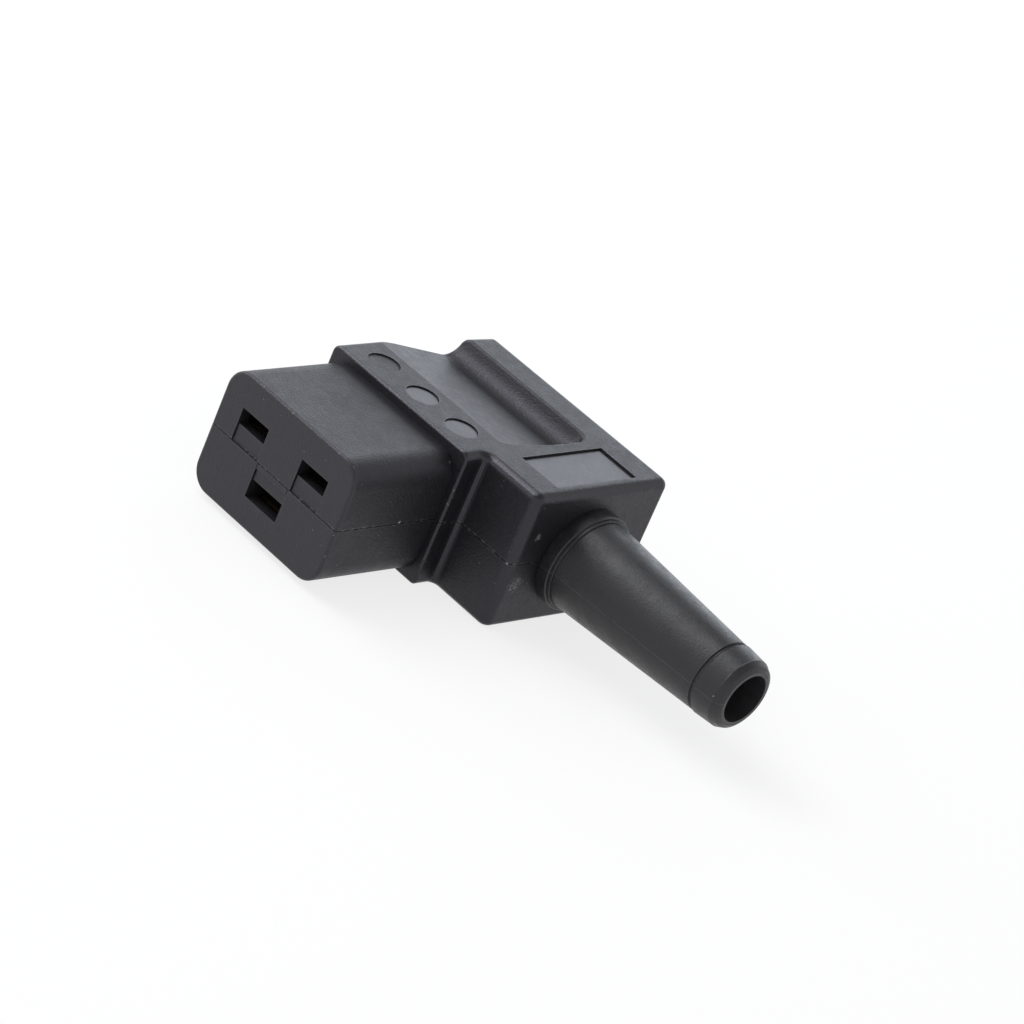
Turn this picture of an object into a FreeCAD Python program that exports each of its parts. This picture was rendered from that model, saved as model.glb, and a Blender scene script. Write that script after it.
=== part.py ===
import FreeCAD, Part
import math
import os

# Angled, rewireable C19 connector for an equipment cord: two moulded half shells
# held by three screws, three spring contacts with screw terminals, a cord clamp
# and a rubber bend relief sleeve.
#
# All sizes are millimetres. X runs along the cord exit, Y runs from the mating face
# back into the connector, Z is up. The origin is on the mating face, half way
# between the two contact rows; the shells part at z = 0.

V = FreeCAD.Vector
X_AXIS = V(1, 0, 0)
Z_AXIS = V(0, 0, 1)
past = 1.0                   # how far a cutter runs past the face it cuts
bite = 0.1                   # how far a rib is sunk into the wall that carries it
same = 1e-3                  # coordinates closer than this count as one

# ---------------------------------------------------------------- contact pattern
pole_spacing = 13.0          # line to neutral, centre to centre
row_spacing = 8.0            # pole row to earth, centre to centre
pole_row_z = 3.9             # height of the pole row over the parting plane
pole_slot_width = 5.7
pole_slot_height = 2.5
earth_slot_width = 6.7
earth_slot_height = 2.8

pole_x = pole_spacing / 2
earth_row_z = pole_row_z - row_spacing
pole_slot_floor = pole_row_z - pole_slot_height / 2
pole_slot_roof = pole_row_z + pole_slot_height / 2
earth_slot_floor = earth_row_z - earth_slot_height / 2
earth_slot_roof = earth_row_z + earth_slot_height / 2

# ---------------------------------------------------------------- cord entry
wall = 2.0                   # walls of both shells
cord_radius = 3.85           # bore of the sleeve
neck_wall = 1.55
neck_gap = 0.15
flange_height = 1.5
flange_thickness = 1.7
flange_gap = 0.1
flange_rib = 1.6             # wall that keeps the flange in
flange_rib_gap = 0.75        # cord to that wall
tip_wall = 1.6
cone_growth = 1.85           # tip to root, on the radius
ring_height = 0.6
ring_length = 2.1
ring_gap = 0.05
ring_edge_radius = 0.25
ring_step_length = 0.5       # low step between the ring and the cone
ring_step_height = 0.25
ring_step_radius = 0.12
sleeve_reach = 34.7          # end face of the arm to the sleeve's tip
tip_length = 5.3             # plain end beyond the groove
tip_step = 0.12              # the plain end stands a little proud of the cone
groove_width = 0.75
groove_depth = 0.3
groove_wall_run = 0.12       # the groove's walls lean by this
nose_length = 1.3            # rounded end of the tip, begun by a crisp edge
nose_shoulder_length = 0.35  # from the end back to the shoulder of that rounding
nose_shoulder_drop = 0.5
nose_shoulder_radius = 0.5
nose_rim_drop = 1.15         # leaves a narrow flat rim round the bore
nose_rim_radius = 0.3

neck_radius = cord_radius + neck_wall
flange_radius = neck_radius + flange_height
cone_end_radius = cord_radius + tip_wall
cone_start_radius = cone_end_radius + cone_growth
ring_radius = cone_start_radius + ring_height

# ---------------------------------------------------------------- cord clamp
clamp_setback = 11.1         # end face of the arm to the clamp's middle
clamp_width = 6.0
clamp_screw_radius = 1.45
clamp_screw_wall = 2.0       # cord to clamp screw
clamp_screw_length = 7.0     # below the bar's feet
clamp_hole_spare = 1.0       # pilot hole below the screw's tip
clamp_head_radius = 2.2
clamp_head_height = 1.6
clamp_head_margin = 0.2      # head to the foot's end
clamp_foot_thickness = 2.2
clamp_seat_z = 1.0
clamp_tooth_gap = 0.15       # cord to the teeth
clamp_tooth_height = 0.4
clamp_tooth_width = 0.8
clamp_arch_thickness = 1.2
clamp_boss_wall = 1.15
clamp_end_gap = 2.3          # clamp to the arm's walls
saddle_thickness = 3.0
saddle_height = -1.0

clamp_screw_offset = cord_radius + clamp_screw_wall + clamp_screw_radius
clamp_foot_length = clamp_screw_offset + clamp_head_radius + clamp_head_margin
clamp_tooth_radius = cord_radius + clamp_tooth_gap
clamp_grip_radius = clamp_tooth_radius + clamp_tooth_height
clamp_arch_radius = clamp_grip_radius + clamp_arch_thickness
clamp_boss_radius = clamp_screw_radius + clamp_boss_wall

# ---------------------------------------------------------------- outer form
plug_width = 27.5
plug_length = 19.5           # mating face to collar
plug_over_poles = 5.95       # pole row to the plug's top
plug_under_earth = 5.7       # earth row to the plug's underside
plug_corner_radius = 3.5
plug_edge_radius = 0.5
collar_far_step = 0.65       # the collar stands proud of the plug by these four
collar_near_step = 1.2
collar_top_step = 1.4
collar_bottom_step = 0.8
collar_depth = 3.8
collar_edge_radius = 0.4
arm_length = 11.2            # the arm's end face beyond the collar's near side
back_draw = 1.7              # the far side is drawn in by this at the back
front_land = 8.55            # flat top between the collar's edge and the scoop
arm_root_radius = 1.0
arm_edge_radius = 1.5
back_edge_radius = 1.2
top_edge_radius = 1.3
bottom_edge_radius = 0.8

plug_half = plug_width / 2
plug_top = pole_row_z + plug_over_poles
plug_bottom = earth_row_z - plug_under_earth
collar_far = -plug_half - collar_far_step
collar_near = plug_half + collar_near_step
body_top = plug_top + collar_top_step
body_bottom = plug_bottom - collar_bottom_step
arm_front = plug_length + collar_depth
arm_depth = 2 * (clamp_foot_length + clamp_end_gap + wall)
arm_end = collar_near + arm_length
body_back = arm_front + arm_depth
back_left = collar_far + back_draw
taper_start = plug_length + front_land
cord_y = arm_front + arm_depth / 2
cord_z = 0.0
sleeve_tip = arm_end + sleeve_reach
clamp_x = arm_end - clamp_setback

# finger scoop in the top: a ramp, a hollow and a steep ridge, open at the far side
arm_land = 11.65             # flat top between the scoop's closed end and the end face
ridge_land = 5.9             # flat top between the ridge's upper edge and the back
scoop_slope = 11.6           # degrees
ridge_slope = 65.0           # degrees
scoop_start = plug_length + front_land
scoop_end = arm_end - arm_land
ridge_front = body_back - ridge_land
scoop_hollow_radius = 3.0
scoop_end_radius = 2.3
scoop_lip_radius = 0.5

# shallow recesses in the top
disc_recess_radius = 2.5
disc_recess_depth = 0.2
disc_recess_pitch = 8.5
disc_recess_setback = 4.6    # from the collar's front edge
disc_recess_count = 3
panel_recess_width = 7.6
panel_recess_length = 16.8
panel_recess_depth = 0.3
panel_recess_edge = 1.85     # from the arm's end face
panel_recess_setback = 5.4   # from the arm's front

# joint between the shells
seam_gap = 0.12              # open line seen round the outside
seam_depth = 0.8
tongue_gap = 0.12            # beside each tongue, where its line shows
tongue_tight_gap = 0.05      # on the other side of a pole's tongue
tongue_setback = 0.25        # tongues stand back from the mating face
face_lip = 0.9               # flush strip of the face over the earth tongue
witness_depth = 0.15         # mould line that carries the seam across that strip

# faces of the space inside
well_end = arm_end - wall
well_roof = body_top - wall
well_floor = body_bottom + wall
plug_roof = plug_top - wall
plug_floor = plug_bottom + wall

# ---------------------------------------------------------------- contacts
strip = 0.7                  # thickness of the contact metal
contact_width = 6.0
contact_height = 4.6
contact_setback = 1.2        # flared mouth behind the face's wall
contact_flare = 3.0          # mouth to pinch
contact_leaf = 4.3           # pinch to the folded tube
contact_overrun = 0.2        # the tube ends this far past the plug
contact_pinch_gap = 1.6      # a 2 mm blade opens it
contact_mouth_gap = 3.0
contact_seam = 0.4
contact_corner_radius = 0.6
tail_width = 4.4
contact_side_gap = 0.3       # contact to the ribs beside it
contact_top_gap = 0.1        # contact to the ribs over it
cage_play = 0.2              # the cage is wider than the contact by this

contact_mouth = wall + contact_setback
contact_pinch_y = contact_mouth + contact_flare
contact_tube_start = contact_pinch_y + contact_leaf
contact_tube_end = plug_length + contact_overrun
contact_floor = pole_row_z - contact_height / 2
earth_contact_floor = earth_row_z - contact_height / 2

# ---------------------------------------------------------------- terminals
terminal_thread_radius = 1.5
thread_gap = 0.05
terminal_screw_drop = 1.2    # screw tip below the cage's roof
terminal_head_radius = 2.2
terminal_head_height = 1.7
terminal_head_lift = 0.6     # backed off, ready for a wire
terminal_roof_gap = 0.8      # pole screw heads to the upper shell
driver_slot_width = 0.7
driver_slot_depth = 0.8
cage_front_gap = 0.2         # cage to the collar's wall in front of it
cage_length = 7.0
cage_side = 0.9
cage_floor = 1.0
cage_roof = 1.7
cage_stop_gap = 0.15
plate_thickness = 0.6
plate_margin = 0.2           # plate to the cage's inner faces

cage_width = contact_width + cage_play
cage_start = plug_length + wall + cage_front_gap
cage_end = cage_start + cage_length
cage_top = well_roof - terminal_roof_gap - terminal_head_height - terminal_head_lift
cage_height = cage_top - (contact_floor - cage_floor)

# ---------------------------------------------------------------- housing screws
screw_far_inset = 4.4        # from the far side at the back
screw_end_inset = 5.2        # from the arm's end face
screw_edge_inset = 3.8       # from the arm's front and the back
housing_screw_radius = 1.5
housing_screw_tip = 4.8
housing_pilot_spare = 0.5    # pilot hole beyond the screw's tip
housing_head_radius = 2.3
housing_head_height = 1.9
housing_head_sink = 3.5      # depth of the counterbore
driver_cross_reach = 1.4     # arms of the cross recess
counterbore_gap = 0.3
clearance_gap = 0.15
boss_radius = 2.5
boss_gap = 0.1
head_bevel = 0.3             # on every screw head's edge

housing_screw_places = {     # driven in from below
    "grip": (back_left + screw_far_inset, cord_y),
    "arm": (arm_end - screw_end_inset, arm_front + screw_edge_inset),
    "back": (arm_end - screw_end_inset, body_back - screw_edge_inset),
}

# ---------------------------------------------------------------- ribs
rib = 1.2
pad = 1.0


# ---------------------------------------------------------------- shape helpers
def block(x0, x1, y0, y1, z0, z1):
    """A rectangular block between two corners."""
    return Part.makeBox(x1 - x0, y1 - y0, z1 - z0, V(x0, y0, z0))


def upright(radius, x, y, z0, z1):
    """A round post or hole along Z."""
    return Part.makeCylinder(radius, z1 - z0, V(x, y, z0), Z_AXIS)


def along_cord(radius, x0, x1):
    """A round bar on the cord's axis."""
    return Part.makeCylinder(radius, x1 - x0, V(x0, cord_y, cord_z), X_AXIS)


def outline(corners):
    """A flat face from (point, corner radius) pairs, each corner rounded by an arc."""
    arcs = []
    for index, (point, radius) in enumerate(corners):
        before = (corners[index - 1][0] - point).normalize()
        after = (corners[(index + 1) % len(corners)][0] - point).normalize()
        if radius == 0:
            arcs.append((point, None, point))
            continue
        half_angle = before.getAngle(after) / 2
        reach = radius / math.tan(half_angle)
        inwards = (before + after).normalize()
        middle = point + inwards * (radius / math.sin(half_angle) - radius)
        arcs.append((point + before * reach, middle, point + after * reach))
    edges = []
    for index, (start, middle, end) in enumerate(arcs):
        if middle is not None:
            edges.append(Part.Arc(start, middle, end).toShape())
        following = arcs[(index + 1) % len(arcs)][0]
        if following.distanceToPoint(end) > same:
            edges.append(Part.makeLine(end, following))
    return Part.Face(Part.Wire(edges))


def middle_of(edge):
    return edge.valueAt((edge.FirstParameter + edge.LastParameter) / 2)


def flat_edges(shape, axis, level):
    """Edges that lie in the plane where the given coordinate has one value."""
    return [edge for edge in shape.Edges
            if all(abs(getattr(corner.Point, axis) - level) < same for corner in edge.Vertexes)
            and abs(getattr(middle_of(edge), axis) - level) < same]


def save(shape, name):
    """Write one sub-part, its solids cleaned of needless seams."""
    solids = shape.removeSplitter().Solids
    result = solids[0] if len(solids) == 1 else Part.makeCompound(solids)
    result.exportStep(os.path.join("parts", name + ".step"))


# ---------------------------------------------------------------- outer form
def plug_section(inset, y):
    """Rounded outline of the plug at one depth, drawn in by an inset."""
    half = plug_half - inset
    radius = plug_corner_radius - inset
    return outline([
        (V(-half, y, plug_bottom + inset), radius),
        (V(half, y, plug_bottom + inset), radius),
        (V(half, y, plug_top - inset), radius),
        (V(-half, y, plug_top - inset), radius),
    ])


def body_plan(z):
    """Plan of collar and arm."""
    return outline([
        (V(collar_far, plug_length, z), 0),
        (V(collar_near, plug_length, z), 0),
        (V(collar_near, arm_front, z), arm_root_radius),
        (V(arm_end, arm_front, z), arm_edge_radius),
        (V(arm_end, body_back, z), back_edge_radius),
        (V(back_left, body_back, z), back_edge_radius),
        (V(collar_far, taper_start, z), back_edge_radius),
    ])


def well_plan(z, inset):
    """Plan of the space inside collar and arm."""
    front = plug_length + inset
    return outline([
        (V(collar_far + inset, front, z), 0),
        (V(collar_near - inset, front, z), 0),
        (V(collar_near - inset, arm_front + inset, z), 0),
        (V(arm_end - inset, arm_front + inset, z), 0),
        (V(arm_end - inset, body_back - inset, z), 0),
        (V(back_left + inset, body_back - inset, z), 0),
        (V(collar_far + inset, taper_start, z), 0),
    ])


def scoop_section(x, drop, rise):
    """Side view of the scoop, sunk by a drop and carried up past the top face."""
    ramp = math.tan(math.radians(scoop_slope))
    steep = math.tan(math.radians(ridge_slope))
    foot_y = (steep * ridge_front + ramp * scoop_start) / (ramp + steep)
    foot_z = body_top - ramp * (foot_y - scoop_start)
    return outline([
        (V(x, scoop_start - rise / ramp, body_top + rise - drop), 0),
        (V(x, foot_y, foot_z - drop), scoop_hollow_radius),
        (V(x, ridge_front + rise / steep, body_top + rise - drop), 0),
    ])


def scoop_cutter():
    """The scoop as a solid, its closed end rounded like a ball cutter's."""
    start = collar_far - wall
    rise = wall
    cutter = scoop_section(start, 0, rise).extrude(V(scoop_end - start, 0, 0))
    end_edges = [edge for edge in flat_edges(cutter, "x", scoop_end)
                 if middle_of(edge).z < body_top + rise - same]
    return cutter.makeFillet(scoop_end_radius, end_edges)


def outer_form():
    """The closed outside of the connector, with scoop and recesses."""
    plan = body_plan(body_bottom)
    body = plan.extrude(V(0, 0, body_top - body_bottom))
    top_edges = [edge for edge in flat_edges(body, "z", body_top)
                 if middle_of(edge).y > plug_length + same]
    body = body.makeFillet(top_edge_radius, top_edges)
    bottom_edges = [edge for edge in flat_edges(body, "z", body_bottom)
                    if middle_of(edge).y > plug_length + same]
    body = body.makeFillet(bottom_edge_radius, bottom_edges)
    body = body.makeFillet(collar_edge_radius, flat_edges(body, "y", plug_length))

    plug = plug_section(0, 0).extrude(V(0, plug_length + wall, 0))
    plug = plug.makeFillet(plug_edge_radius, flat_edges(plug, "y", 0))

    form = body.fuse(plug).removeSplitter().cut(scoop_cutter())
    lip_edges = [edge for edge in flat_edges(form, "z", body_top)
                 if scoop_start + same < middle_of(edge).y < ridge_front + same
                 and middle_of(edge).x < scoop_end + same]
    form = form.makeFillet(scoop_lip_radius, lip_edges)

    first_x = -disc_recess_pitch * (disc_recess_count - 1) / 2
    recesses = [upright(disc_recess_radius, first_x + disc_recess_pitch * index,
                        plug_length + disc_recess_setback,
                        body_top - disc_recess_depth, body_top + past)
                for index in range(disc_recess_count)]
    panel_x = arm_end - panel_recess_edge
    panel_y = arm_front + panel_recess_setback
    recesses.append(block(panel_x - panel_recess_width, panel_x,
                          panel_y, panel_y + panel_recess_length,
                          body_top - panel_recess_depth, body_top + past))
    return form.cut(recesses)


# ---------------------------------------------------------------- space inside
def plug_space():
    """Room behind the mating face, inside the plug's walls."""
    return plug_section(wall, wall).extrude(V(0, plug_length + past, 0))


def well_space():
    """Room inside collar and arm, kept clear of the scoop by one wall."""
    space = well_plan(well_floor, wall).extrude(V(0, 0, well_roof - well_floor))
    ramp = math.tan(math.radians(scoop_slope))
    low_y = ridge_front - scoop_hollow_radius
    low_z = body_top - ramp * (low_y - scoop_start) - wall
    under_scoop = outline([
        (V(collar_far, scoop_start - wall / 2, well_roof), 0),
        (V(collar_far, low_y, low_z), 0),
        (V(collar_far, body_back, low_z), 0),
        (V(collar_far, body_back, body_top), 0),
        (V(collar_far, scoop_start - wall / 2, body_top), 0),
    ]).extrude(V(scoop_end + wall - collar_far, 0, 0))
    return space.cut(under_scoop)


def cord_hole():
    """Hole in the end face that the sleeve's neck passes through."""
    return along_cord(neck_radius + neck_gap, well_end - past, arm_end + past)


def half_space(z0, z1):
    """Everything of the connector between two heights."""
    reach = sleeve_tip
    return block(-reach, reach, -reach, reach, z0, z1)


def seam_relief():
    """Thin open line between the shells, only as deep as the eye can see in."""
    band = half_space(-seam_gap, 0)
    core = plug_section(seam_depth, seam_depth).extrude(V(0, plug_length + wall, 0))
    core = core.fuse(well_plan(body_bottom, seam_depth).extrude(V(0, 0, body_top - body_bottom)))
    return band.cut(core)


# ---------------------------------------------------------------- upper shell
def upper_shell():
    """Upper housing: both pole openings, the tongue over earth, hold-down ribs."""
    shell = outer_form().common(half_space(0, body_top + past))
    inside = plug_space().fuse(well_space()).common(half_space(0, body_top))
    shell = shell.cut(inside)

    openings = [block(x - pole_slot_width / 2, x + pole_slot_width / 2,
                      -past, wall + past, -past, pole_slot_roof) for x in (-pole_x, pole_x)]
    shell = shell.cut(openings + [cord_hole()])

    tongue_half = earth_slot_width / 2 - tongue_gap
    additions = [
        block(-tongue_half, tongue_half, tongue_setback, wall, earth_slot_roof, 0),
        block(-tongue_half, tongue_half, 0, wall, -face_lip, wall)
        .cut(block(-tongue_half, tongue_half, -past, witness_depth, -seam_gap, 0)),
    ]
    # centre ribs press the earth contact down and keep the poles apart
    rib_outer = pole_x - contact_width / 2 - contact_side_gap
    hold_down = earth_row_z + contact_height / 2 + contact_top_gap
    for side in (-1, 1):
        x0, x1 = sorted((side * rib_outer, side * (rib_outer - rib)))
        additions.append(block(x0, x1, wall, contact_tube_end, hold_down, plug_roof + bite))
    # roof ribs hold the line and neutral contacts down
    pole_top = pole_row_z + contact_height / 2 + contact_top_gap
    for centre in (-pole_x, pole_x):
        for offset in (-contact_width / 4, contact_width / 4):
            additions.append(block(centre + offset - rib / 2, centre + offset + rib / 2,
                                   wall, contact_tube_end, pole_top, plug_roof + bite))
    # one cross rib over the pole cages
    rib_back = cage_start + cage_length / 2 - terminal_head_radius - clearance_gap
    additions.append(block(-pole_x - cage_width / 2, pole_x + cage_width / 2,
                           cage_start, rib_back, cage_top + contact_top_gap, well_roof + bite))
    # wall that keeps the sleeve's flange in
    additions.append(flange_wall(0, well_roof + bite))
    # posts for the housing screws
    for x, y in housing_screw_places.values():
        additions.append(upright(boss_radius, x, y, boss_gap, body_top - wall / 2)
                         .common(outer_form()))
    shell = shell.fuse(additions)
    pilots = [upright(housing_screw_radius + thread_gap, x, y, -past,
                      housing_screw_tip + housing_pilot_spare)
              for x, y in housing_screw_places.values()]
    return shell.cut(pilots)


def flange_wall(z0, z1):
    """Cross wall with a round way for the cord, just inside the flange."""
    x1 = well_end - flange_gap - flange_thickness - flange_gap
    reach = flange_radius + rib / 2
    plate = block(x1 - flange_rib, x1, cord_y - reach, cord_y + reach, z0, z1)
    return plate.cut(along_cord(cord_radius + flange_rib_gap,
                                x1 - flange_rib - past, x1 + past))


# ---------------------------------------------------------------- lower shell
def lower_shell():
    """Lower housing: earth opening, pole tongues, contact ribs and screw bosses."""
    shell = outer_form().common(half_space(body_bottom - past, 0))
    inside = plug_space().fuse(well_space()).common(half_space(well_floor, 0))
    shell = shell.cut(inside)
    opening = block(-earth_slot_width / 2, earth_slot_width / 2, -past, wall + past,
                    earth_slot_floor, past)
    shell = shell.cut([opening, cord_hole(), seam_relief()])

    additions = []
    for side in (-1, 1):
        centre = side * pole_x
        # tongue that closes the pole opening up to the slot
        additions.append(block(centre - pole_slot_width / 2 + tongue_gap,
                               centre + pole_slot_width / 2 - tongue_tight_gap,
                               tongue_setback, wall, -wall, pole_slot_floor))
        # ribs under the contact, stepping down under its cage
        inner = pole_x - contact_width / 2
        outer = pole_x + contact_width / 2 - rib
        for near in (inner, outer):
            x0, x1 = sorted((side * near, side * (near + rib)))
            additions.append(block(x0, x1, wall, contact_tube_end, plug_floor - bite,
                                   contact_floor))
            additions.append(block(x0, x1, contact_tube_end, cage_end, well_floor - bite,
                                   contact_floor - cage_floor))
        # stop behind the cage
        x0, x1 = sorted((side * inner, side * (pole_x + contact_width / 2)))
        additions.append(block(x0, x1, cage_end + cage_stop_gap, cage_end + cage_stop_gap + rib,
                               well_floor - bite, contact_floor))
    # pads under the earth contact and its cage
    for side in (-1, 1):
        x0, x1 = sorted((side * pad, side * (pad + rib)))
        additions.append(block(x0, x1, wall, contact_tube_end, plug_floor - bite,
                               earth_contact_floor))
        additions.append(block(x0, x1, contact_tube_end, cage_end, well_floor - bite,
                               earth_contact_floor - cage_floor))
    additions.append(block(-tail_width / 2, tail_width / 2, cage_end + cage_stop_gap,
                           cage_end + cage_stop_gap + rib, well_floor - bite, earth_contact_floor))
    additions.append(flange_wall(well_floor - bite, 0))
    # saddle and bosses of the cord clamp
    saddle = block(clamp_x - saddle_thickness / 2, clamp_x + saddle_thickness / 2,
                   cord_y - clamp_screw_offset, cord_y + clamp_screw_offset,
                   well_floor - bite, saddle_height)
    additions.append(saddle.cut(along_cord(clamp_tooth_radius, 0, arm_end)))
    for side in (-1, 1):
        additions.append(upright(clamp_boss_radius, clamp_x, cord_y + side * clamp_screw_offset,
                                 well_floor - bite, clamp_seat_z))
    # bosses round the housing screws, wide round the sunk heads
    sink_radius = housing_head_radius + counterbore_gap
    seat = body_bottom + housing_head_sink
    for x, y in housing_screw_places.values():
        post = upright(boss_radius, x, y, body_bottom + wall / 2, 0)
        cup = upright(sink_radius + rib, x, y, body_bottom + wall / 2, seat + rib)
        additions.append(post.fuse(cup).common(outer_form()))
    shell = shell.fuse(additions)

    holes = []
    for x, y in housing_screw_places.values():
        holes.append(upright(housing_screw_radius + clearance_gap, x, y, body_bottom - past, past))
        holes.append(upright(sink_radius, x, y, body_bottom - past, seat))
    for side in (-1, 1):
        holes.append(upright(clamp_screw_radius + thread_gap, clamp_x,
                             cord_y + side * clamp_screw_offset,
                             clamp_seat_z - clamp_screw_length - clamp_hole_spare,
                             clamp_seat_z + past))
    return shell.cut(holes)


# ---------------------------------------------------------------- contacts
def contact(centre_x, centre_z):
    """Folded spring contact: flared leaves, pinch, seamed tube and flat tail."""
    half = contact_height / 2
    inner = half - strip

    def leaf(side):
        def at(y, gap):
            return V(centre_x - contact_width / 2, y, centre_z + side * gap)
        inner_line = [at(contact_tube_start, inner), at(contact_pinch_y, contact_pinch_gap / 2),
                      at(contact_mouth, contact_mouth_gap / 2)]
        outer_line = [at(contact_mouth, contact_mouth_gap / 2 + strip),
                      at(contact_pinch_y, contact_pinch_gap / 2 + strip),
                      at(contact_tube_start, half)]
        corners = inner_line + outer_line + [inner_line[0]]
        return Part.Face(Part.makePolygon(corners)).extrude(V(contact_width, 0, 0))

    def tube_section(shrink, radius):
        across = contact_width / 2 - shrink
        up = half - shrink
        return outline([
            (V(centre_x - across, contact_tube_start, centre_z - up), radius),
            (V(centre_x + across, contact_tube_start, centre_z - up), radius),
            (V(centre_x + across, contact_tube_start, centre_z + up), radius),
            (V(centre_x - across, contact_tube_start, centre_z + up), radius),
        ])

    length = V(0, contact_tube_end - contact_tube_start, 0)
    tube = tube_section(0, contact_corner_radius).extrude(length)
    tube = tube.cut(tube_section(strip, contact_corner_radius / 2).extrude(length))
    tail = block(centre_x - tail_width / 2, centre_x + tail_width / 2,
                 contact_tube_end - strip, cage_end, centre_z - half, centre_z - inner)
    whole = tube.fuse([leaf(-1), leaf(1), tail])
    seam = block(centre_x - contact_seam / 2, centre_x + contact_seam / 2,
                 contact_mouth - past, contact_tube_end + past, centre_z, centre_z + contact_height)
    return whole.cut(seam)


# ---------------------------------------------------------------- terminals
def cage(centre_x, tail_bottom):
    """Terminal cage: a block bored along Y, threaded from the top."""
    z0 = tail_bottom - cage_floor
    z1 = z0 + cage_height
    body = block(centre_x - cage_width / 2, centre_x + cage_width / 2, cage_start, cage_end, z0, z1)
    opening = block(centre_x - cage_width / 2 + cage_side, centre_x + cage_width / 2 - cage_side,
                    cage_start - past, cage_end + past, tail_bottom, z1 - cage_roof)
    thread = upright(terminal_thread_radius + thread_gap, centre_x, cage_start + cage_length / 2,
                     tail_bottom, z1 + past)
    return body.cut([opening, thread])


def terminal_screw(centre_x, tail_bottom):
    """Slotted screw, backed off so that a wire can go in."""
    top = tail_bottom - cage_floor + cage_height
    centre_y = cage_start + cage_length / 2
    tip = top - cage_roof - terminal_screw_drop
    head_base = top + terminal_head_lift
    screw = upright(terminal_thread_radius, centre_x, centre_y, tip, head_base)
    screw = screw.fuse(slotted_head(centre_x, centre_y, head_base, terminal_head_radius,
                                    terminal_head_height))
    return screw


def slotted_head(x, y, base, radius, height):
    """Cheese head with a driver slot."""
    head = upright(radius, x, y, base, base + height)
    head = head.makeChamfer(head_bevel, flat_edges(head, "z", base + height))
    slot = block(x - radius - past, x + radius + past, y - driver_slot_width / 2,
                 y + driver_slot_width / 2, base + height - driver_slot_depth,
                 base + height + past)
    return head.cut(slot)


def pressure_plate(centre_x, tail_bottom):
    """Small plate under the screw's tip that spreads the grip over the strands."""
    half = cage_width / 2 - cage_side - plate_margin
    top = tail_bottom - cage_floor + cage_height - cage_roof - terminal_screw_drop
    return block(centre_x - half, centre_x + half, cage_start + plate_margin,
                 cage_end - plate_margin, top - plate_thickness, top)


# ---------------------------------------------------------------- cord clamp
def cord_clamp_bar():
    """Arched bar with two inner teeth, its feet on the lower shell's bosses."""
    x0 = clamp_x - clamp_width / 2
    x1 = clamp_x + clamp_width / 2
    feet = block(x0, x1, cord_y - clamp_foot_length, cord_y + clamp_foot_length,
                 clamp_seat_z, clamp_seat_z + clamp_foot_thickness)
    arch = along_cord(clamp_arch_radius, x0, x1)
    above = half_space(clamp_seat_z, body_top)
    bar = feet.fuse(arch).cut(along_cord(clamp_grip_radius, x0 - past, x1 + past)).common(above)
    for tooth_x in (x0 + clamp_width / 4, x1 - clamp_width / 4 - clamp_tooth_width):
        tooth = along_cord(clamp_grip_radius + bite, tooth_x, tooth_x + clamp_tooth_width)
        tooth = tooth.cut(along_cord(clamp_tooth_radius, tooth_x - past,
                                     tooth_x + clamp_tooth_width + past))
        bar = bar.fuse(tooth.common(above))
    holes = [upright(clamp_screw_radius + clearance_gap, clamp_x,
                     cord_y + side * clamp_screw_offset, 0, body_top) for side in (-1, 1)]
    return bar.cut(holes)


def cord_clamp_screw(side):
    """Screw through a foot of the bar into its boss."""
    y = cord_y + side * clamp_screw_offset
    seat = clamp_seat_z + clamp_foot_thickness
    shank = upright(clamp_screw_radius, clamp_x, y, clamp_seat_z - clamp_screw_length, seat)
    return shank.fuse(slotted_head(clamp_x, y, seat, clamp_head_radius, clamp_head_height))


# ---------------------------------------------------------------- sleeve
def bend_relief_sleeve():
    """Turned profile of the rubber sleeve: flange, neck, ring, cone, groove, tip."""
    flange_end = well_end - flange_gap
    flange_start = flange_end - flange_thickness
    ring_start = arm_end + ring_gap
    cone_start = ring_start + ring_length
    groove = sleeve_tip - tip_length
    groove_end = groove + groove_width
    step_end = cone_start + ring_step_length
    tip_radius = cone_end_radius + tip_step
    fall = (cone_start_radius - cone_end_radius) / (sleeve_tip - cone_start)

    def at(x, radius):
        return V(x, cord_y, cord_z + radius)

    def cone(x):
        return cone_start_radius - fall * (x - cone_start)

    profile = outline([
        (at(flange_start, cord_radius), 0),
        (at(flange_start, flange_radius), 0),
        (at(flange_end, flange_radius), 0),
        (at(flange_end, neck_radius), 0),
        (at(ring_start, neck_radius), 0),
        (at(ring_start, ring_radius), 0),
        (at(cone_start, ring_radius), ring_edge_radius),
        (at(cone_start, cone(cone_start) + ring_step_height), 0),
        (at(step_end, cone(step_end) + ring_step_height), ring_step_radius),
        (at(step_end, cone(step_end)), 0),
        (at(groove, cone(groove)), 0),
        (at(groove + groove_wall_run, cone(groove) - groove_depth), 0),
        (at(groove_end - groove_wall_run, cone(groove_end) - groove_depth), 0),
        (at(groove_end, cone(groove_end) + tip_step), 0),
        (at(sleeve_tip - nose_length, tip_radius), 0),
        (at(sleeve_tip - nose_shoulder_length, tip_radius - nose_shoulder_drop),
         nose_shoulder_radius),
        (at(sleeve_tip, tip_radius - nose_rim_drop), nose_rim_radius),
        (at(sleeve_tip, cord_radius), 0),
    ])
    return profile.revolve(V(0, cord_y, cord_z), X_AXIS, 360)


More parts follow.
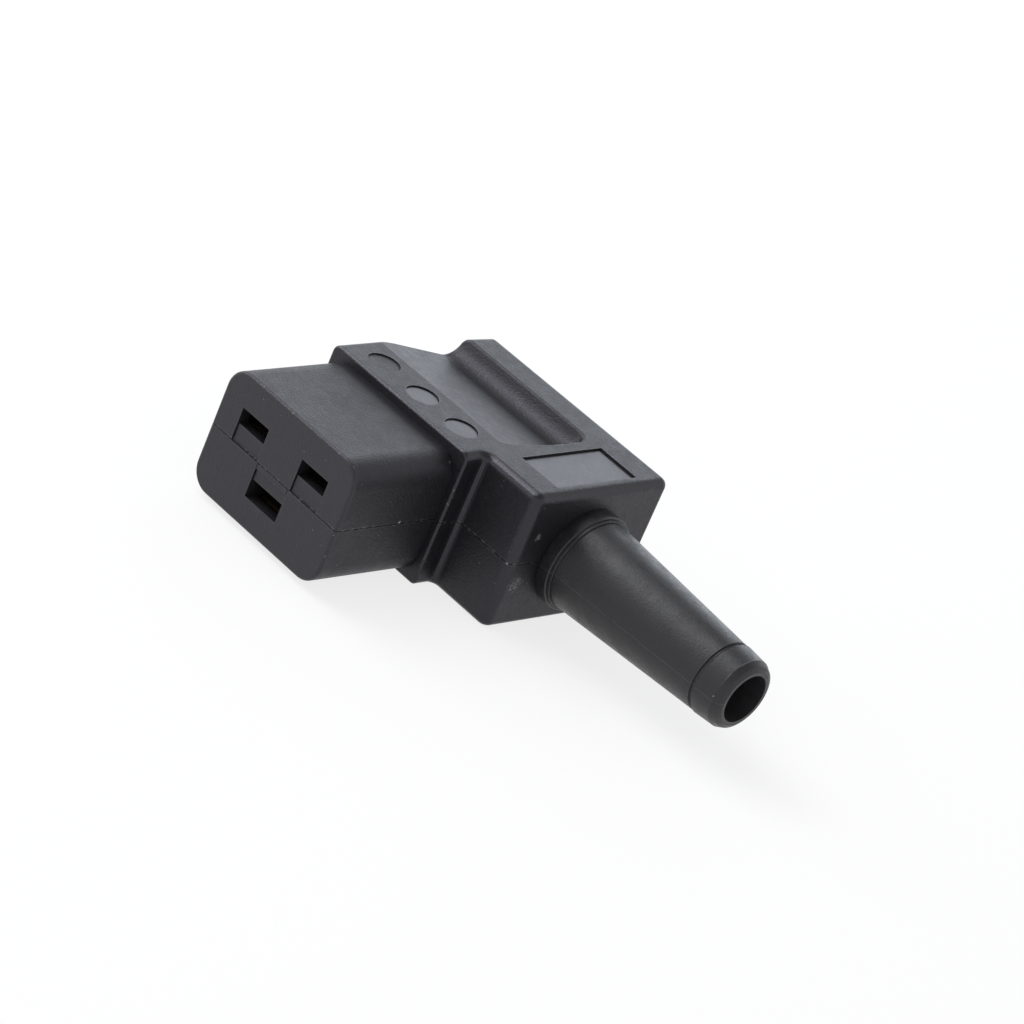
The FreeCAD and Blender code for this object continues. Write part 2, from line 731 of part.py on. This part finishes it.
# ---------------------------------------------------------------- housing screws
def housing_screw(x, y):
    """Thread-forming screw with its head sunk in the underside."""
    seat = body_bottom + housing_head_sink
    head_end = seat - housing_head_height
    shank = upright(housing_screw_radius, x, y, seat, housing_screw_tip)
    head = upright(housing_head_radius, x, y, head_end, seat)
    head = head.makeChamfer(head_bevel, flat_edges(head, "z", head_end))
    half = driver_slot_width / 2
    for across, along in ((driver_cross_reach, half), (half, driver_cross_reach)):
        head = head.cut(block(x - across, x + across, y - along, y + along,
                              head_end - past, head_end + driver_slot_depth))
    return shank.fuse(head)


# ---------------------------------------------------------------- write the parts
os.makedirs("parts", exist_ok=True)

save(upper_shell(), "upper_shell")
save(lower_shell(), "lower_shell")
save(bend_relief_sleeve(), "bend_relief_sleeve")

poles = {
    "line": (-pole_x, pole_row_z),
    "neutral": (pole_x, pole_row_z),
    "earth": (0, earth_row_z),
}
for pole, (pole_centre, pole_height) in poles.items():
    tail_level = pole_height - contact_height / 2
    save(contact(pole_centre, pole_height), pole + "_contact")
    save(cage(pole_centre, tail_level), pole + "_terminal")
    save(terminal_screw(pole_centre, tail_level), pole + "_terminal_screw")
    save(pressure_plate(pole_centre, tail_level), pole + "_pressure_plate")

save(cord_clamp_bar(), "cord_clamp_bar")
save(cord_clamp_screw(-1), "cord_clamp_screw_front")
save(cord_clamp_screw(1), "cord_clamp_screw_rear")

for place, (screw_x, screw_y) in housing_screw_places.items():
    save(housing_screw(screw_x, screw_y), "housing_screw_" + place)
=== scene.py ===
import bpy
import math
from mathutils import Matrix, Vector


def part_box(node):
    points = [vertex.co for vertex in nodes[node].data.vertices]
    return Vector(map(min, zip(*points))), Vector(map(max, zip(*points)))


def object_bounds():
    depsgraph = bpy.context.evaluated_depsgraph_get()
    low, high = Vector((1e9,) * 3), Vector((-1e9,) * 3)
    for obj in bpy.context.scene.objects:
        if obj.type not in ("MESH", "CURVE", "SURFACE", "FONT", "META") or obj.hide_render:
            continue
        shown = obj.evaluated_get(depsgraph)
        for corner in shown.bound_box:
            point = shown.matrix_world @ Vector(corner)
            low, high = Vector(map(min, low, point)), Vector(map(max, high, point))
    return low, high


# The connector as packed: 21 pieces, already in place and at their real size.
# Everything below dresses them; lengths are metres in the frame of the model.
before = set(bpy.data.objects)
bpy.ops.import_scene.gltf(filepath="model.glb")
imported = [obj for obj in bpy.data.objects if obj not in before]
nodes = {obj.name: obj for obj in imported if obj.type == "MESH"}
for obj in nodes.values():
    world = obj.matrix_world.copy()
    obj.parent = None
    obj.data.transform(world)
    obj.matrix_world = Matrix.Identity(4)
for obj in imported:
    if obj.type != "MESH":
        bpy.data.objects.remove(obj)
cad_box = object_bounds()
mm = 0.001


# ---- Housing shells -------------------------------------------------------------
# Two half shells of black glass-filled nylon, injection moulded in spark-eroded
# tools, so every outer face has a fine even grain and only the edges are rubbed smooth.
class Signal:
    """A socket of a material; arithmetic on it adds Math nodes to that material."""

    def __init__(self, tree, socket=None):
        self.tree = tree
        self.socket = socket

    def node(self, kind, settings, inputs, output=0):
        """Adds one node: settings first, then values or links of its sockets."""
        new = self.tree.nodes.new(kind)
        for name, value in settings.items():
            setattr(new, name, value)
        for name, value in inputs.items():
            if isinstance(value, Signal):
                self.tree.links.new(value.socket, new.inputs[name])
            else:
                new.inputs[name].default_value = value
        return Signal(self.tree, new.outputs[output])

    def outputs(self, *names):
        """Outputs, by name, of the node that this signal comes from."""
        sockets = self.socket.node.outputs
        return [Signal(self.tree, sockets[name]) for name in names]

    def math(self, operation, first, second=0.0):
        return self.node("ShaderNodeMath", {"operation": operation}, {0: first, 1: second})

    def __add__(self, other):
        return self.math("ADD", self, other)

    def __radd__(self, other):
        return self.math("ADD", other, self)

    def __sub__(self, other):
        return self.math("SUBTRACT", self, other)

    def __rsub__(self, other):
        return self.math("SUBTRACT", other, self)

    def __mul__(self, other):
        return self.math("MULTIPLY", self, other)

    def __rmul__(self, other):
        return self.math("MULTIPLY", other, self)

    def __truediv__(self, other):
        return self.math("DIVIDE", self, other)

    def __rtruediv__(self, other):
        return self.math("DIVIDE", other, self)

    def __pow__(self, other):
        return self.math("POWER", self, other)

    def __gt__(self, other):
        return self.math("GREATER_THAN", self, other)

    def __lt__(self, other):
        return self.math("LESS_THAN", self, other)

    def absolute(self):
        return self.math("ABSOLUTE", self)

    def most(self, other):
        return self.math("MAXIMUM", self, other)

    def between(self, low, high):
        """0 under low, 1 over high, smooth in between."""
        return self.node("ShaderNodeMapRange", {"interpolation_type": "SMOOTHSTEP"},
                         {"Value": self, "From Min": low, "From Max": high})

    def near(self, level, core, reach):
        """1 within core of a level, 0 beyond reach of it."""
        return 1 - (self - level).absolute().between(core, reach)

    def noise(self, place, size, detail=2.0, roughness=0.5):
        """Cloudy value from 0 to 1 whose blotches are about one size across."""
        return self.node("ShaderNodeTexNoise", {"noise_dimensions": "3D"},
                         {"Vector": place, "Scale": 1 / size, "Detail": detail,
                          "Roughness": roughness})

    def blend(self, low_tone, high_tone):
        """Colour that goes from one tone to another as this value goes from 0 to 1."""
        return self.node("ShaderNodeMix", {"data_type": "RGBA"},
                         {0: self, 6: low_tone, 7: high_tone}, output=2)


class Finish:
    """A new material with its shader, its place on the piece, and masks made from it."""

    def __init__(self, name):
        self.material = bpy.data.materials.new(name)
        self.material.use_nodes = True
        tree = self.material.node_tree
        self.shader = tree.nodes["Principled BSDF"]
        self.make = Signal(tree)
        self.place = self.make.node("ShaderNodeTexCoord", {}, {}, output=3)
        axes = self.make.node("ShaderNodeSeparateXYZ", {}, {"Vector": self.place})
        self.x, self.y, self.z = axes.outputs("X", "Y", "Z")

    def noise(self, size, detail=2.0, roughness=0.5):
        return self.make.noise(self.place, size, detail, roughness)

    def cells(self, size):
        """Distance to the nearest of scattered points, in cell widths."""
        return self.make.node("ShaderNodeTexVoronoi", {"feature": "F1"},
                              {"Vector": self.place, "Scale": 1 / size})

    def facing(self):
        """How far the surface faces along X, Y and Z, each from -1 to 1."""
        normal = self.make.node("ShaderNodeTexCoord", {}, {}, output=1)
        axes = self.make.node("ShaderNodeSeparateXYZ", {}, {"Vector": normal})
        return axes.outputs("X", "Y", "Z")

    def rounded(self):
        """1 on rounded edges and hollows, 0 where the surface faces along an axis."""
        along = [part.absolute() for part in self.facing()]
        return (1 - along[0].most(along[1]).most(along[2])).between(0.03, 0.12)

    def edge(self, reach):
        """1 on outer edges and 0 on open faces and in hollows: looks out from inside."""
        open_inside = self.make.node("ShaderNodeAmbientOcclusion",
                                     {"inside": True, "only_local": True, "samples": 6},
                                     {"Distance": reach}, output=1)
        return (1 - open_inside).between(0.02, 0.4)

    def mark(self, centre, size):
        """1 inside a ragged spot on the surface, 0 outside it."""
        away = self.make.node("ShaderNodeVectorMath", {"operation": "DISTANCE"},
                              {0: self.place, 1: centre}, output=1)
        ragged = self.noise(max(0.25 * mm, size / 3), 3) - 0.5
        return 1 - (away + ragged * size * 1.9).between(0.5 * size, 0.85 * size)

    def relief(self, height, depth, strength, facing=None):
        """Bump from a height signal whose full swing is one depth."""
        inputs = {"Height": height, "Distance": depth, "Strength": strength}
        if facing is not None:
            inputs["Normal"] = facing
        return self.make.node("ShaderNodeBump", {}, inputs)

    def set(self, socket, value):
        """A plain value goes on the socket; a signal is linked to it."""
        if isinstance(value, Signal):
            self.make.tree.links.new(value.socket, self.shader.inputs[socket])
        else:
            self.shader.inputs[socket].default_value = value

    def dress(self, *names):
        for name in names:
            piece = nodes[name]
            piece.data.materials.clear()
            piece.data.materials.append(self.material)


def grey(level, blue=1.0):
    return (level, level, level * blue, 1)


shell_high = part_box("upper_shell")[1]
face_y = 0.6 * mm            # the mating face and its edge lie in front of this
collar_y = 19.3 * mm         # the collar starts here; in front of it is the plug
scoop_x = 13.9 * mm          # the scoop lies on the far side of this
scoop_y = (27 * mm, 46 * mm)
plug_inside = (12.3 * mm, 8.4 * mm)     # half width and half height of the space in the plug

cloud_size = 7 * mm          # broad changes of tone and gloss
patch_size = 1.3 * mm
grain_size = 0.34 * mm
grain_depth = 0.08 * mm
pit_size = 0.3 * mm
dust_spacing = 1.6 * mm
crumb_size = 0.3 * mm        # crumbs of flash and the grain of the scuff
# the runs along the parting line are partly real flash, partly a painted highlight of the seam's
# edge
flash_and_highlight_length = 0.7 * mm      # runs of flash on the line where the shells part
# the same reach sets how far in the outer edges are painted paler, a painted highlight
rubbed_and_highlit_reach = 0.3 * mm      # how far in from an edge it is rubbed
nylon_shine = (0.91, 0.88, 1.0, 1)
chips = (                    # where the housing was knocked, how far, and how pale it went
    ((shell_high.x, 26.6 * mm, 4.3 * mm), 0.7 * mm, 0.25),
    ((13.75 * mm, 12.4 * mm, 0.15 * mm), 0.3 * mm, 0.8),
    ((25.3 * mm, 23.4 * mm, -0.1 * mm), 0.3 * mm, 0.7),
)
scuff_place = (shell_high.x, 26.1 * mm, -3.5 * mm)
scuff_size = 1.7 * mm


def moulded_shell(name, darkness):
    """Grained black nylon: cloudy gloss, rubbed outer edges and moulding flash with painted
    highlights, dust, and painted light inside the plug.
    """
    finish = Finish(name)
    cloud = finish.noise(cloud_size, 3)
    patches = finish.noise(patch_size, 3)
    grain = finish.noise(grain_size, 3, 0.6)
    pits = finish.cells(pit_size)
    edge = finish.edge(rubbed_and_highlit_reach)
    curve = finish.rounded()

    # where on the housing: mating face, parting line, collar, finger scoop, inside
    at_face = finish.y < face_y
    at_seam = finish.z.near(0, 0.08 * mm, 0.3 * mm)
    at_collar = finish.y.near(collar_y, 0.3 * mm, 0.7 * mm)
    in_scoop = (finish.x < scoop_x) * (finish.y > scoop_y[0]) * (finish.y < scoop_y[1])
    body_curve = curve * (finish.y > collar_y) * (1 - in_scoop)
    inside_plug = ((finish.y > face_y) * (finish.y < collar_y)
                   * (finish.x.absolute() < plug_inside[0])
                   * (finish.z.absolute() < plug_inside[1]))

    tone = (cloud - 0.5) * 0.5 + (grain - 0.5) * 0.6 + 0.5
    base = tone.blend(grey(0.003 * darkness, 1.2), grey(0.0065 * darkness, 1.25))
    # painted highlight: the outer edges are painted paler, standing in for light caught on their
    # roundings
    edge_highlit = (edge * 0.3).blend(base, grey(0.03, 1.05))

    dust = (1 - finish.cells(dust_spacing).between(0.035, 0.06)) * cloud.between(0.4, 0.55)
    # pale runs of moulding flash on the parting line, partly a painted highlight where the seam's
    # edge catches light
    flash_and_seam_highlight = at_seam * finish.noise(flash_and_highlight_length).between(0.5, 0.66)
    flecks = curve * at_face.most(at_collar) * patches.between(0.5, 0.6)
    flecks = flecks * finish.noise(crumb_size).between(0.56, 0.66)
    scuff = finish.mark(scuff_place, scuff_size) * finish.noise(crumb_size, 3).between(0.46, 0.62)
    pale = (dust * 0.4).most(flash_and_seam_highlight * 0.16).most(flecks * 0.3).most(scuff * 0.4)
    # inside the plug the nylon is painted paler: painted light that lifts the shade in the slots
    pale = pale.most(at_face * 0.02).most(inside_plug * 0.025)
    for centre, size, strength in chips:
        pale = pale.most(finish.mark(centre, size) * strength)
    finish.set("Base Color", pale.blend(edge_highlit, grey(0.4)))

    gloss = (cloud - 0.5) * 0.1 + (patches - 0.5) * 0.16 + (grain - 0.5) * 0.2
    finish.set("Roughness", 0.47 + gloss - edge * 0.06 - body_curve * 0.2)
    finish.set("Specular Tint", nylon_shine)
    finish.set("Specular IOR Level", 0.53)
    height = (grain * 0.9 + pits * 0.35) * (1 - body_curve * 0.75)
    finish.set("Normal", finish.relief(height, grain_depth, 0.8))
    return finish


moulded_shell("upper_shell_grain", 1.0).dress("upper_shell")
moulded_shell("lower_shell_grain", 0.95).dress("lower_shell")


def polished_floor():
    """Nylon off a smooth insert of the mould: shinier than the grain round it."""
    finish = Finish("recess_polish")
    cloud = finish.noise(3 * mm, 3)
    ripple = finish.noise(0.8 * mm)
    finish.set("Base Color", cloud.blend(grey(0.004, 1.05), grey(0.008, 1.1)))
    finish.set("Roughness", 0.3 + (cloud - 0.5) * 0.14 + (ripple - 0.5) * 0.1)
    finish.set("Specular Tint", nylon_shine)
    finish.set("Normal", finish.relief(ripple, 0.01 * mm, 0.4))
    return finish


# the floors of the panel and of the two discs nearer the arm lie flat, a little below
# the top face; the far disc has the grain of the face round it
recess_depth = (0.1 * mm, 0.4 * mm)
smooth_from_x = -4 * mm
level = 0.999                # a face points straight up from here on
upper = nodes["upper_shell"].data
upper.materials.append(polished_floor().material)
smooth = len(upper.materials) - 1
for face in upper.polygons:
    sunk = recess_depth[0] < shell_high.z - face.center.z < recess_depth[1]
    if sunk and face.normal.z > level and face.center.x > smooth_from_x:
        face.material_index = smooth


# ---- Bend relief sleeve ----------------------------------------------------------
# One soft rubber moulding pushed into the housing from inside. It is smoother than the
# shells, has a fine mould line on both sides and faint flow streaks along its cone.
sleeve_low, sleeve_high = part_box("bend_relief_sleeve")
sleeve_axis_y = (sleeve_low.y + sleeve_high.y) / 2
bore_radius = 3.85 * mm
mould_line_slope = 0.06      # the sleeve sits a little turned
mould_line_sway = 0.25 * mm
groove_x = sleeve_high.x - 5.22 * mm    # wall of the groove round the tip
second_x = groove_x + 0.4 * mm          # a second, finer line in the groove's upper part
# a painted highlight runs along the crisp nose edge
nose_x = sleeve_high.x - 1.3 * mm       # crisp edge where the end begins to round
tip_chip = (sleeve_high.x - 1.4 * mm, sleeve_axis_y - 5.6 * mm, 0.4 * mm)

streak_size = 0.9 * mm       # across the cone
streak_draw = 0.15           # along the cone the streaks are drawn out to 1 / 0.15
handled_size = 2.2 * mm
rubber_grain_size = 0.3 * mm
rubber_depth = 0.045 * mm
speck_spacing = 2.4 * mm


def rubber_sleeve():
    """Satin rubber: handled patches, flow streaks along the cone, a wavy mould line, painted
    light in the groove and bore and a painted highlight on the nose edge.
    """
    finish = Finish("sleeve_rubber")
    drawn_out = finish.make.node("ShaderNodeMapping", {},
                                 {"Vector": finish.place, "Scale": (streak_draw, 1, 1)})
    streaks = finish.make.noise(drawn_out, streak_size, 3)
    handled = finish.noise(handled_size, 4, 0.6)
    grain = finish.noise(rubber_grain_size)

    across = finish.y - sleeve_axis_y
    radius = (across * across + finish.z * finish.z) ** 0.5
    outside = radius > bore_radius + 0.3 * mm
    upper_part = finish.z.between(1.5 * mm, 4 * mm)
    gaps = finish.noise(1.5 * mm).between(0.3, 0.5)
    sway = (finish.noise(3 * mm) - 0.5) * mould_line_sway
    over_line = finish.z - across * mould_line_slope + sway
    line = over_line.near(0, 0.03 * mm, 0.1 * mm) * outside * gaps
    under_line = over_line.near(-0.14 * mm, 0.04 * mm, 0.1 * mm) * outside
    in_groove = finish.x.near(groove_x, 0.08 * mm, 0.2 * mm)
    second_line = finish.x.near(second_x, 0.04 * mm, 0.13 * mm) * upper_part
    # painted highlight: a pale line along the upper part of the nose edge
    nose_edge_highlight = finish.x.near(nose_x, 0.03 * mm, 0.12 * mm) * upper_part * gaps * outside

    tone = (streaks - 0.5) * 0.6 + (handled - 0.5) * 0.6 + (grain - 0.5) * 0.8 + 0.5
    base = tone.blend((0.0035, 0.0034, 0.005, 1), (0.012, 0.0115, 0.0155, 1))
    base = (line * 0.4).blend(base, grey(0.06))
    dust = (1 - finish.cells(speck_spacing).between(0.02, 0.04)) * handled.between(0.45, 0.6)
    pale = (dust * 0.5).most(finish.mark(tip_chip, 0.2 * mm) * 0.45)
    # painted light: the groove round the tip and the bore are painted paler to lift their shade
    pale = pale.most(in_groove * 0.07).most(nose_edge_highlight * 0.16).most((1 - outside) * 0.045)
    finish.set("Base Color", pale.blend(base, grey(0.35)))

    gloss = (handled - 0.5) * 0.4 + (streaks - 0.5) * 0.16 + (grain - 0.5) * 0.3
    finish.set("Roughness", 0.43 + gloss)
    finish.set("Sheen Weight", 0.07)
    finish.set("Sheen Roughness", 0.3)
    finish.set("Sheen Tint", (0.88, 0.93, 1.0, 1))

    # the sleeve is round about its own axis, so how it faces follows from its place,
    # with no break along the line where the revolved surface closes
    lengthwise, sideways, upward = finish.facing()
    outward = ((sideways * across + upward * finish.z) > 0.0) * 2 - 1
    spread = (1 - lengthwise * lengthwise).most(0.0) ** 0.5 * outward / radius
    even = finish.make.node("ShaderNodeCombineXYZ", {},
                            {"X": lengthwise, "Y": across * spread, "Z": finish.z * spread})
    height = grain * 0.8 + handled * 0.7 + line * 0.5 - under_line * 0.5 - second_line * 1.6
    finish.set("Normal", finish.relief(height, rubber_depth, 0.7, even))
    return finish


rubber_sleeve().dress("bend_relief_sleeve")


# ---- Contacts and terminals --------------------------------------------------------
# The three contacts are folded from rolled brass strip; the cages round their tails are
# cut from drawn brass bar. Both are dull, with a little tarnish, and seen only in the slots; the
# strip is painted far darker than the bar, tarnish and painted shade of the deep slots.
def brass(name, lighter_tone, darker_tone, stretch):
    """Brass with fine lines along the strip or bar and cloudy tarnish."""
    finish = Finish(name)
    drawn = finish.make.node("ShaderNodeMapping", {},
                             {"Vector": finish.place, "Scale": stretch})
    lines = finish.make.noise(drawn, 0.25 * mm, 3)
    tarnish = finish.noise(2.4 * mm, 3).between(0.45, 0.75)
    finish.set("Base Color", tarnish.blend(lighter_tone, darker_tone))
    finish.set("Metallic", 1.0)
    finish.set("Roughness", 0.28 + lines * 0.2 + tarnish * 0.15)
    finish.set("Normal", finish.relief(lines, 0.012 * mm, 0.4))
    return finish


poles = ("line", "neutral", "earth")
# the strip's two tones are painted dark: tarnish together with painted shade of the slots
strip = brass("contact_strip", (0.22, 0.18, 0.11, 1), (0.11, 0.09, 0.06, 1), (1, 0.08, 1))
strip.dress(*[pole + "_contact" for pole in poles])
bar = brass("cage_bar", (0.58, 0.42, 0.2, 1), (0.4, 0.28, 0.13, 1), (1, 1, 0.1))
bar.dress(*[pole + "_terminal" for pole in poles])


# ---- Screws and pressure plates ------------------------------------------------------
# Zinc-plated steel screws with turned heads; each head's turning marks run round its
# own middle. The pressure plates are stamped from plated sheet.
turning_pitch = 0.12 * mm


def plated(name, middle=None):
    """Zinc plating, with turning marks round the middle where one is given."""
    finish = Finish(name)
    cloud = finish.noise(1.6 * mm, 3)
    if middle is None:
        marks = finish.noise(0.2 * mm)
    else:
        offset = finish.make.node("ShaderNodeVectorMath", {"operation": "SUBTRACT"},
                                  {0: finish.place, 1: (middle.x, middle.y, 0)})
        flat = finish.make.node("ShaderNodeVectorMath", {"operation": "MULTIPLY"},
                                {0: offset, 1: (1, 1, 0)})
        radius = finish.make.node("ShaderNodeVectorMath", {"operation": "LENGTH"},
                                  {0: flat}, output=1)
        marks = finish.make.math("SINE", radius * (2 * math.pi / turning_pitch)) * 0.5 + 0.5
    finish.set("Base Color", cloud.blend(grey(0.42, 1.03), grey(0.62, 1.02)))
    finish.set("Metallic", 1.0)
    finish.set("Roughness", 0.3 + cloud * 0.15)
    finish.set("Normal", finish.relief(marks, 0.008 * mm, 0.35))
    return finish


for pole in poles:
    plated(pole + "_plate_steel").dress(pole + "_pressure_plate")
for name in sorted(name for name in nodes if "screw" in name):
    screw_low, screw_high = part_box(name)
    plated(name + "_zinc", (screw_low + screw_high) / 2).dress(name)


# ---- Cord clamp bar ---------------------------------------------------------------
# A small arched bridge of grey nylon, moulded, held down by its two screws.
def clamp_nylon():
    """Plain moulded nylon, paler than the shells, with a light grain."""
    finish = Finish("clamp_nylon")
    cloud = finish.noise(4 * mm)
    grain = finish.noise(0.2 * mm)
    finish.set("Base Color", cloud.blend(grey(0.03), grey(0.05)))
    finish.set("Roughness", 0.45 + grain * 0.2)
    finish.set("Normal", finish.relief(grain, 0.02 * mm, 0.4))
    return finish


clamp_nylon().dress("cord_clamp_bar")


# ---- Floor, light and camera ----------------------------------------------------------
# The connector lies on a plain white table in a white tent, lit by two soft boxes on its
# left and one low behind it, and seen with a long lens from the front right.
white = (1, 1, 1, 1)
table_size = 6
table_glow = 0.78            # share of plain white in the table as seen; the rest is lit


def shown(make):
    """1 where a surface is seen: by itself, in a reflection or through something clear."""
    rays = make.node("ShaderNodeLightPath", {}, {})
    itself, reflected, through = rays.outputs("Is Camera Ray", "Is Glossy Ray",
                                              "Is Transmission Ray")
    return itself + reflected + through


def white_table():
    """White floor: bright to the camera and in reflections, still shadowed by lamps."""
    finish = Finish("white_table")
    make = finish.make
    finish.set("Base Color", grey(0.95))
    finish.set("Roughness", 0.9)
    finish.set("Specular IOR Level", 0.0)
    glow = make.node("ShaderNodeEmission", {}, {"Color": white, "Strength": 1.0})
    mix = make.node("ShaderNodeMixShader", {}, {0: shown(make) * table_glow})
    links = make.tree.links
    links.new(finish.shader.outputs[0], mix.socket.node.inputs[1])
    links.new(glow.socket, mix.socket.node.inputs[2])
    links.new(mix.socket, make.tree.nodes["Material Output"].inputs["Surface"])
    return finish


table_z = cad_box[0][2] - 0.05 * mm     # just clear of the resting face
bpy.ops.object.select_all(action="DESELECT")
bpy.ops.mesh.primitive_plane_add(size=table_size, location=(0, 0, table_z))
table = bpy.context.object
table.name = "table_top"
bpy.ops.object.transform_apply(location=True)
table.data.materials.append(white_table().material)

# the tent is white down to the table and dimmer overhead, where it is open
tent_level = 0.75            # what the tent gives the object, where 1 is white
open_top = 0.5               # how much dimmer it is overhead
world = bpy.data.worlds.new("white_tent")
bpy.context.scene.world = world
world.use_nodes = True
tent = Signal(world.node_tree)
background = world.node_tree.nodes["Background"]
where = tent.node("ShaderNodeTexCoord", {}, {})
rise = tent.node("ShaderNodeSeparateXYZ", {}, {"Vector": where}, output=2)
overhead = rise.between(0.5, 0.85)
strength = (shown(tent) * (1 - tent_level) + tent_level) * (1 - overhead * open_top)
world.node_tree.links.new(strength.socket, background.inputs["Strength"])
background.inputs["Color"].default_value = white

middle = Vector((0.024, 0.028, 0))
lamp_distance = 0.9
lamp_size = 0.6


def direction(azimuth, elevation):
    """Unit vector; azimuth 0 is in front of the mating face and turns towards the cord."""
    turn = math.radians(azimuth)
    lift = math.radians(elevation)
    return Vector((math.sin(turn) * math.cos(lift), -math.cos(turn) * math.cos(lift),
                   math.sin(lift)))


def looking_back(towards):
    """Rotation of a lamp or camera that stands out that way and looks back."""
    return (-towards).to_track_quat("-Z", "Y")


def soft_box(name, azimuth, elevation, brightness, tint):
    """A square soft box aimed at the connector; brightness 1 looks white."""
    data = bpy.data.lights.new(name, "AREA")
    data.color = tint
    data.shape = "SQUARE"
    data.size = lamp_size
    data.energy = brightness * math.pi * lamp_size * lamp_size
    lamp = bpy.data.objects.new(name, data)
    bpy.context.scene.collection.objects.link(lamp)
    towards = direction(azimuth, elevation)
    lamp.location = middle + towards * lamp_distance
    lamp.rotation_euler = looking_back(towards).to_euler()


soft_box("back_box", -150, 15, 1.5, (0.78, 0.89, 1.0))
soft_box("left_box", -70, 35, 3.4, (0.93, 0.95, 1.0))
soft_box("upper_left_box", -70, 60, 2.4, (0.96, 0.97, 1.0))

view_azimuth = 35.28
view_elevation = 25.51
view_roll = math.radians(23.63)
view_distance = 0.5577
aim = Vector((0.01977, 0.02745, 0.00429))
to_camera = direction(view_azimuth, view_elevation)
view_turn = looking_back(to_camera).to_matrix().to_4x4() @ Matrix.Rotation(view_roll, 4, "Z")
lens = bpy.data.cameras.new("long_lens")
lens.lens = 141.0
lens.sensor_width = 36
lens.clip_end = 20
camera = bpy.data.objects.new("long_lens", lens)
bpy.context.scene.collection.objects.link(camera)
camera.matrix_world = Matrix.Translation(aim + to_camera * view_distance) @ view_turn
bpy.context.scene.camera = camera
bpy.context.scene.view_settings.view_transform = "Standard"

bpy.context.view_layer.update()
